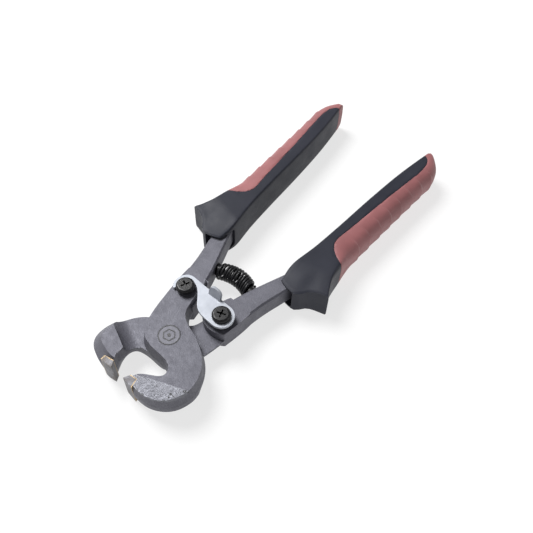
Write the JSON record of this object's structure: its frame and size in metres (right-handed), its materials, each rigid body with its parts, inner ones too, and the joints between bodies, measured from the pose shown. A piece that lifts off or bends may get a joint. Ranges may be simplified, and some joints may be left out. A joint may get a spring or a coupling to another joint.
{
  "type": "tile nippers",
  "caption": "Tile nippers with carbide-tipped offset jaws, a return spring, a swinging storage latch and two-colour moulded grips.",
  "frame": {"origin": "on the pivot axis, at the back face of the rear lever's head", "axes": "+Y from the jaws to the handles, +Z from the rear lever to the front lever along the pivot, +X towards the rear lever's handle"},
  "size_m": [0.0908, 0.2156, 0.0266],
  "materials": {
    "forged_steel": "shot-blasted forged steel, matte grey",
    "carbide": "ground tungsten carbide",
    "braze": "brass braze",
    "rivet_steel": "flush turned steel",
    "zinc_plate": "bright zinc plate",
    "black_steel": "black oxide, lightly oiled",
    "grip_black": "satin moulded plastic, charcoal",
    "grip_red": "soft brick-red thermoplastic rubber"
  },
  "bodies": {
    "rear_lever": {"rear_lever": "forged_steel", "rear_carbide_tip": "carbide", "rear_braze": "braze", "pivot_rivet": "rivet_steel", "latch_screw": "black_steel", "latch_spacer": "black_steel", "latch_washer": "zinc_plate", "rear_spring_peg": "black_steel", "rear_grip_core": "grip_black", "rear_grip_overmould": "grip_red", "return_spring": "black_steel"},
    "front_lever": {"front_lever": "forged_steel", "front_carbide_tip": "carbide", "front_braze": "braze", "catch_screw": "black_steel", "catch_collar": "black_steel", "front_spring_peg": "black_steel", "front_grip_core": "grip_black", "front_grip_overmould": "grip_red"},
    "latch": {"latch": "zinc_plate"}
  },
  "joints": [
    {"name": "handle_opening", "type": "hinge", "parent": "rear_lever", "child": "front_lever", "pos_m": [0, 0, 0], "axis": [0, 0, 1], "range_deg": [0, 20], "deforming": ["return_spring"]},
    {"name": "latch_swing", "type": "hinge", "parent": "rear_lever", "child": "latch", "pos_m": [0.0126, 0.0228, 0.0174], "axis": [0, 0, 1], "range_deg": [-100, 0]}
  ],
  "couplings": [
    {"joint": "latch_swing", "follows": "handle_opening", "ratio": -5}
  ]
}
